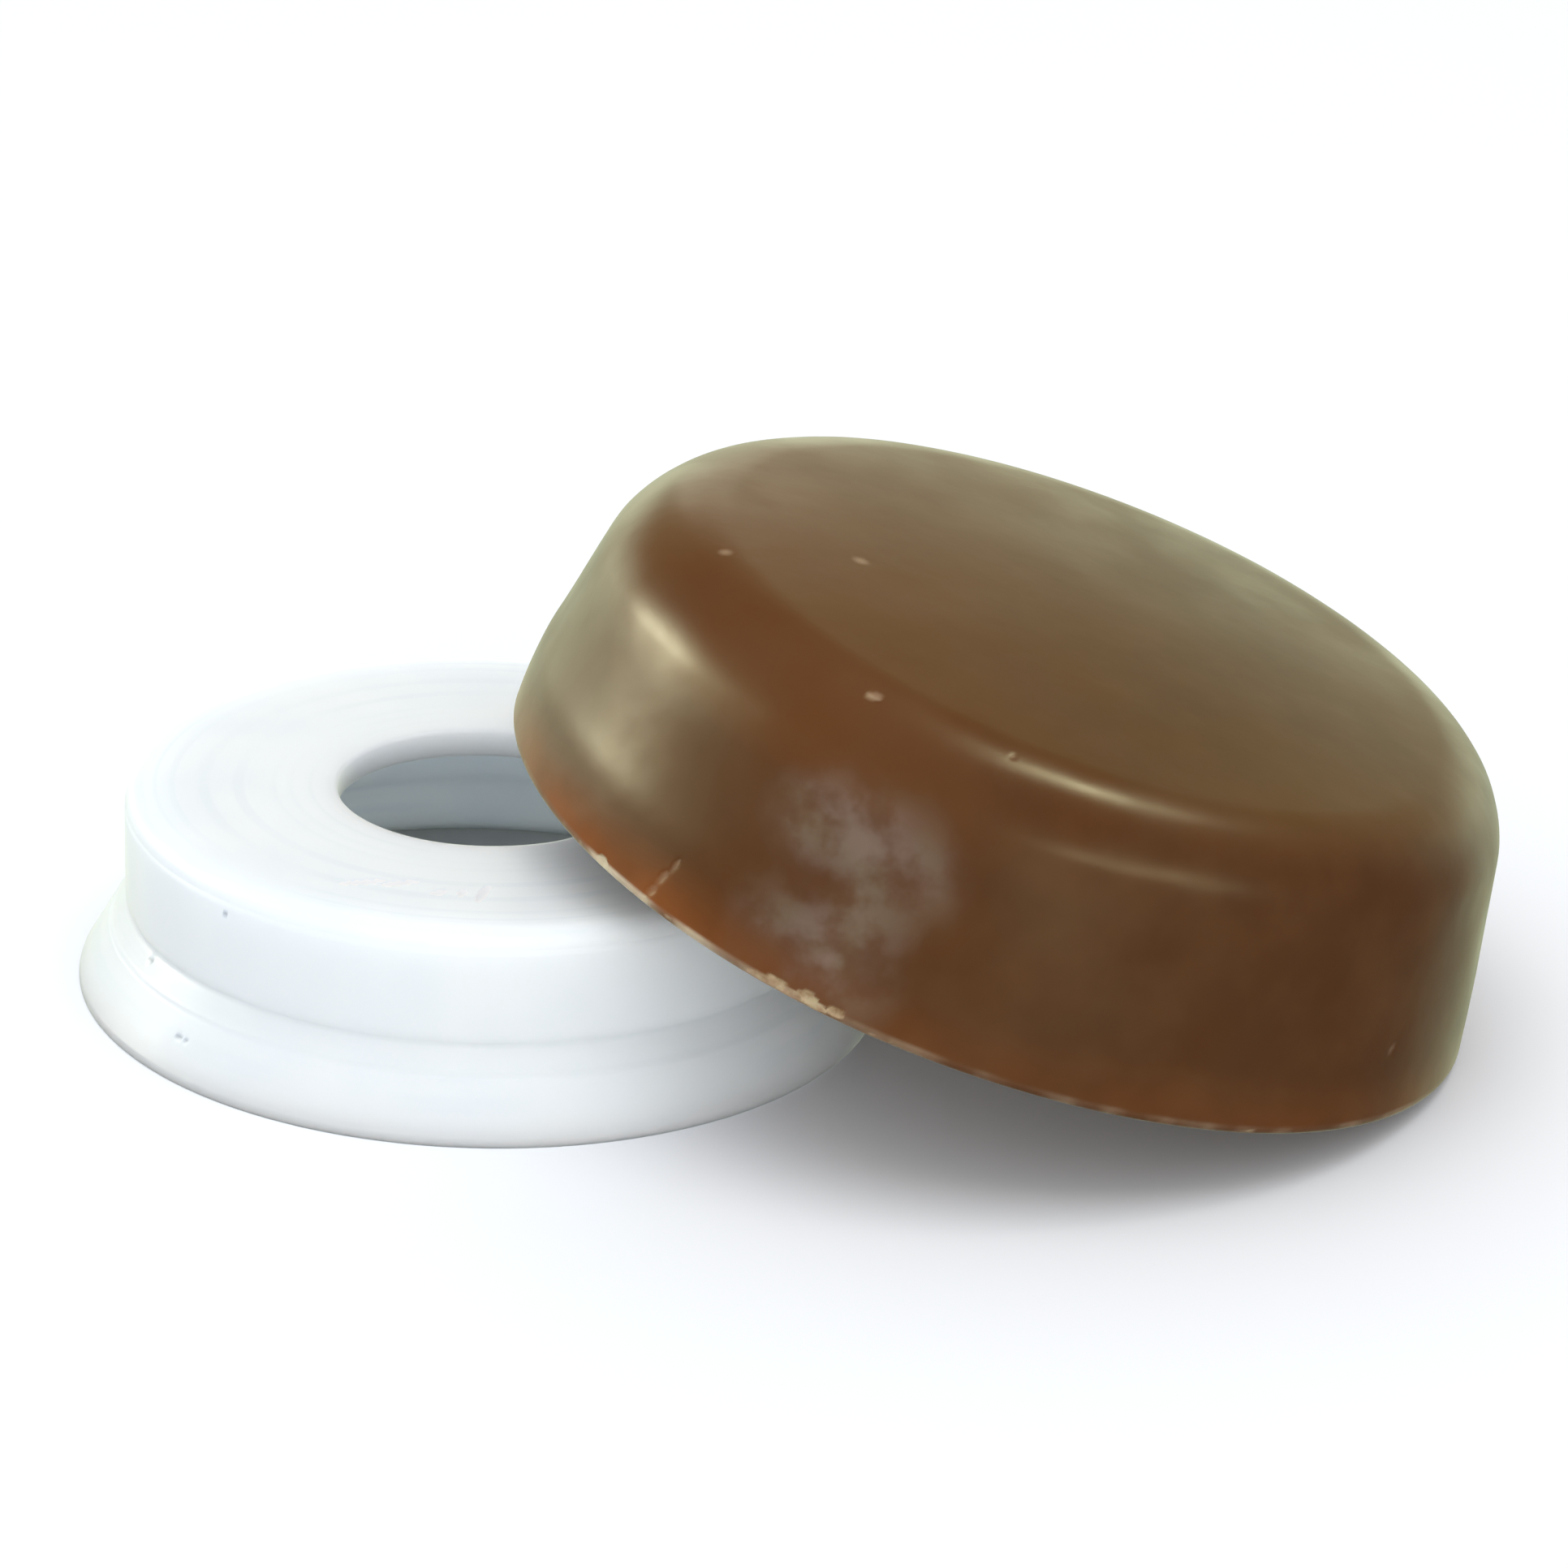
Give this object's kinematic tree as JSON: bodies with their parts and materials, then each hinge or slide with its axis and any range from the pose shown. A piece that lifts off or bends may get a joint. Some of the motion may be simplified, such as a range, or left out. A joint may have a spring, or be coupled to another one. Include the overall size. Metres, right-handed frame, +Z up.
{
  "type": "rosin cake",
  "caption": "Round tapered cake of bow rosin with a domed, round-edged face, leaning on its white flanged plastic holder, a shallow cup with a central hole.",
  "frame": {"origin": "on the surface that both pieces stand on, below the middle of the pair's box", "axes": "+Z up; +X from the holder towards the cake's lower edge, in the plane that holds both round pieces' axes"},
  "size_m": [0.07, 0.0504, 0.0263],
  "materials": {
    "rosin": "satin",
    "holder_plastic": "satin"
  },
  "bodies": {
    "holder": {"holder": "holder_plastic"},
    "cake": {"rosin_cake": "rosin"}
  },
  "joints": [
    {"name": "cake_lift", "type": "slide", "parent": "holder", "child": "cake", "axis": [0.2882, 0, 0.9576], "range_m": [0, 0.03]}
  ]
}
